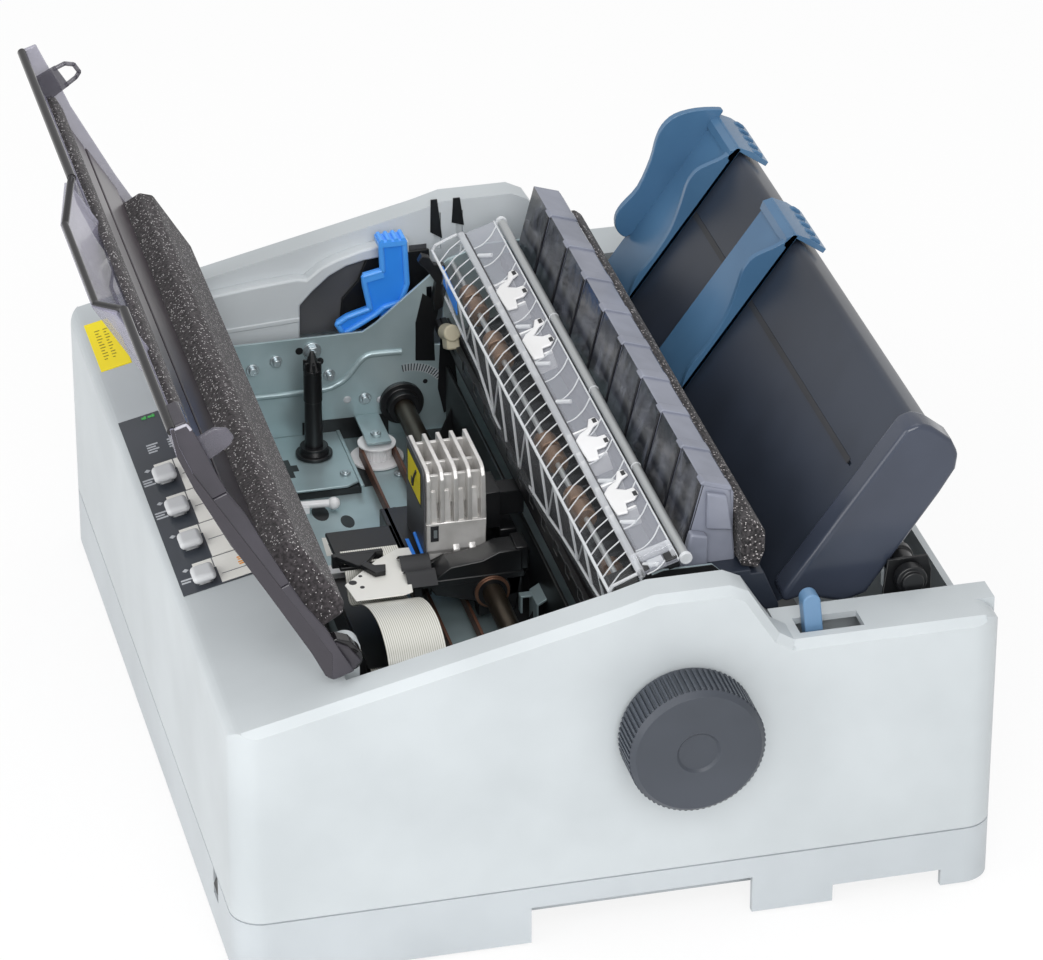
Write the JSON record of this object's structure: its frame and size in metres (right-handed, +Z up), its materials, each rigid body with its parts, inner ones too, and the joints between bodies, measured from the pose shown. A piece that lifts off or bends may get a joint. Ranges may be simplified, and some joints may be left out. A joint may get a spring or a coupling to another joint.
{
  "type": "dot matrix printer",
  "caption": "Desktop impact printer with a raised smoked cover, platen knob, paper guides and visible carriage mechanism.",
  "frame": {"origin": "middle of the footprint, knob and raised cover included, on the table", "axes": "+X towards the paper feed knob, +Y towards the back, +Z up"},
  "size_m": [0.434, 0.3716, 0.2718],
  "materials": {
    "case_lower": "satin moulded plastic with a fine grain",
    "case_upper": "satin moulded plastic with a fine grain",
    "foot_rubber": "soft matt rubber",
    "panel_overlay": "dark printed overlay film",
    "label_white": "coated label stock",
    "label_yellow": "coated label stock",
    "lens_green": "clear tinted lens",
    "zinc_steel": "zinc plated sheet steel",
    "rod_steel": "ground and oiled steel rod",
    "screw_steel": "plated screw",
    "black_plastic": "moulded black plastic",
    "motor_steel": "black painted steel",
    "board_green": "solder-masked glass board",
    "supply_steel": "folded plated steel",
    "connector_steel": "nickel plated shell",
    "belt_rubber": "toothed rubber belt",
    "clear_plastic": "clear moulded plastic",
    "tube_steel": "polished tube",
    "white_plastic": "natural white nylon",
    "smoke_separator": "smoked translucent plastic",
    "smoke_cover": "smoked translucent plastic",
    "foam": "open cell acoustic foam",
    "guide_plastic": "dark satin plastic",
    "blue_guide": "slate blue plastic",
    "blue_lever": "bright blue plastic",
    "lever_grey_blue": "pale blue plastic",
    "cable_film": "white flat flexible cable",
    "head_aluminium": "die cast heat sink",
    "platen_rubber": "ground hard rubber",
    "knob_plastic": "dark grey moulded plastic",
    "gear_plastic": "acetal",
    "pinion_brass": "machined brass",
    "roller_steel": "drawn steel tube",
    "pinch_copper": "ground brown rubber",
    "button_plastic": "light grey plastic",
    "shaft_plastic": "cream plastic shaft"
  },
  "bodies": {
    "chassis": {"lower_case": "case_lower", "rubber_feet": "foot_rubber", "upper_case": "case_upper", "control_panel_plate": "panel_overlay", "panel_labels": "label_white", "indicator_lenses": "lens_green", "blank_label": "label_yellow", "chassis_base": "zinc_steel", "left_side_frame": "zinc_steel", "right_side_frame": "zinc_steel", "platen_bearings": "black_plastic", "carriage_rod": "rod_steel", "rod_collars": "black_plastic", "drive_belt": "belt_rubber", "idler_bracket": "zinc_steel", "carriage_motor": "motor_steel", "feed_motor": "motor_steel", "main_board": "board_green", "power_supply": "supply_steel", "ac_inlet": "black_plastic", "interface_connector": "connector_steel", "switch_housing": "black_plastic", "paper_bail_bar": "black_plastic", "tension_unit": "clear_plastic", "tension_tube": "tube_steel", "tension_forks": "white_plastic", "separator_bar": "smoke_separator", "separator_foam": "foam", "rear_guide_frame": "guide_plastic", "sheet_guide": "guide_plastic", "cable_socket": "white_plastic", "head_cable": "cable_film", "frame_screws": "screw_steel"},
    "carriage": {"carriage": "black_plastic", "print_head": "head_aluminium", "head_nose": "black_plastic", "cable_clamp": "black_plastic"},
    "drive_pulley": {"drive_pulley": "white_plastic"},
    "idler_pulley": {"idler_pulley": "white_plastic"},
    "platen": {"platen_roller": "platen_rubber", "platen_shaft": "shaft_plastic", "platen_knob": "knob_plastic", "platen_gear": "gear_plastic"},
    "feed_idler": {"feed_idler_gear": "gear_plastic"},
    "feed_pinion": {"feed_pinion": "pinion_brass"},
    "tractor_roller": {"tractor_roller": "roller_steel"},
    "pinch_rollers": {"pinch_rollers": "pinch_copper"},
    "ribbon_drive": {"ribbon_drive_post": "black_plastic"},
    "thickness_lever": {"thickness_lever": "blue_lever"},
    "release_lever": {"release_lever": "lever_grey_blue"},
    "edge_guide_left": {"edge_guide_left": "blue_guide"},
    "edge_guide_right": {"edge_guide_right": "blue_guide"},
    "button_1": {"button_1": "button_plastic"},
    "button_2": {"button_2": "button_plastic"},
    "button_3": {"button_3": "button_plastic"},
    "button_4": {"button_4": "button_plastic"},
    "power_switch": {"power_switch": "black_plastic"},
    "cover": {"printer_cover": "smoke_cover", "cover_foam_strip": "foam", "cover_foam_block": "foam"}
  },
  "joints": [
    {"name": "cover_hinge", "type": "hinge", "parent": "chassis", "child": "cover", "pos_m": [-0.012, -0.10243, 0.146], "axis": [1, 0, 0], "range_deg": [-107.5, 0]},
    {"name": "platen_spin", "type": "hinge", "parent": "chassis", "child": "platen", "pos_m": [-0.012, 0.04007, 0.1035], "axis": [1, 0, 0], "continuous": true},
    {"name": "feed_idler_spin", "type": "hinge", "parent": "chassis", "child": "feed_idler", "pos_m": [0.1565, 0.05807, 0.0795], "axis": [1, 0, 0], "continuous": true},
    {"name": "feed_pinion_spin", "type": "hinge", "parent": "chassis", "child": "feed_pinion", "pos_m": [0.1565, 0.06887, 0.0651], "axis": [1, 0, 0], "continuous": true},
    {"name": "pinch_roller_spin", "type": "hinge", "parent": "chassis", "child": "pinch_rollers", "pos_m": [-0.012, 0.03363, 0.12595], "axis": [1, 0, 0], "continuous": true},
    {"name": "carriage_slide", "type": "slide", "parent": "chassis", "child": "carriage", "axis": [1, 0, 0], "range_m": [-0.1, 0.118], "deforming": ["head_cable"]},
    {"name": "drive_pulley_spin", "type": "hinge", "parent": "chassis", "child": "drive_pulley", "pos_m": [0.126, -0.01943, 0.06], "axis": [0, 0, 1], "continuous": true},
    {"name": "idler_pulley_spin", "type": "hinge", "parent": "chassis", "child": "idler_pulley", "pos_m": [-0.15, -0.01943, 0.06], "axis": [0, 0, 1], "continuous": true},
    {"name": "ribbon_drive_spin", "type": "hinge", "parent": "chassis", "child": "ribbon_drive", "pos_m": [-0.152, -0.05013, 0.063], "axis": [0, 0, 1], "continuous": true},
    {"name": "tractor_roller_spin", "type": "hinge", "parent": "chassis", "child": "tractor_roller", "pos_m": [-0.012, 0.15257, 0.139], "axis": [1, 0, 0], "continuous": true},
    {"name": "thickness_lever_turn", "type": "hinge", "parent": "chassis", "child": "thickness_lever", "pos_m": [-0.185, -0.00193, 0.075], "axis": [1, 0, 0], "range_deg": [-12, 4]},
    {"name": "release_lever_turn", "type": "hinge", "parent": "chassis", "child": "release_lever", "pos_m": [0.178, 0.10807, 0.07], "axis": [1, 0, 0], "range_deg": [-13.5, 0]},
    {"name": "edge_guide_left_slide", "type": "slide", "parent": "chassis", "child": "edge_guide_left", "axis": [1, 0, 0], "range_m": [0, 0.048]},
    {"name": "edge_guide_right_slide", "type": "slide", "parent": "chassis", "child": "edge_guide_right", "axis": [1, 0, 0], "range_m": [0, 0.16]},
    {"name": "button_1_press", "type": "slide", "parent": "chassis", "child": "button_1", "axis": [0, -0.225, 0.9744], "range_m": [-0.0012, 0], "stiffness_N_per_m": 300, "springref_m": 0.0005},
    {"name": "button_2_press", "type": "slide", "parent": "chassis", "child": "button_2", "axis": [0, -0.225, 0.9744], "range_m": [-0.0012, 0], "stiffness_N_per_m": 300, "springref_m": 0.0005},
    {"name": "button_3_press", "type": "slide", "parent": "chassis", "child": "button_3", "axis": [0, -0.225, 0.9744], "range_m": [-0.0012, 0], "stiffness_N_per_m": 300, "springref_m": 0.0005},
    {"name": "button_4_press", "type": "slide", "parent": "chassis", "child": "button_4", "axis": [0, -0.225, 0.9744], "range_m": [-0.0012, 0], "stiffness_N_per_m": 300, "springref_m": 0.0005},
    {"name": "power_switch_rock", "type": "hinge", "parent": "chassis", "child": "power_switch", "pos_m": [0.148, -0.15163, 0.0232], "axis": [1, 0, 0], "range_deg": [0, 14]}
  ],
  "couplings": [
    {"joint": "feed_idler_spin", "follows": "platen_spin", "ratio": -1.5},
    {"joint": "feed_pinion_spin", "follows": "platen_spin", "ratio": 3},
    {"joint": "pinch_roller_spin", "follows": "platen_spin", "ratio": -3.6},
    {"joint": "drive_pulley_spin", "follows": "carriage_slide", "rad_per_m": 125},
    {"joint": "idler_pulley_spin", "follows": "carriage_slide", "rad_per_m": 125}
  ]
}
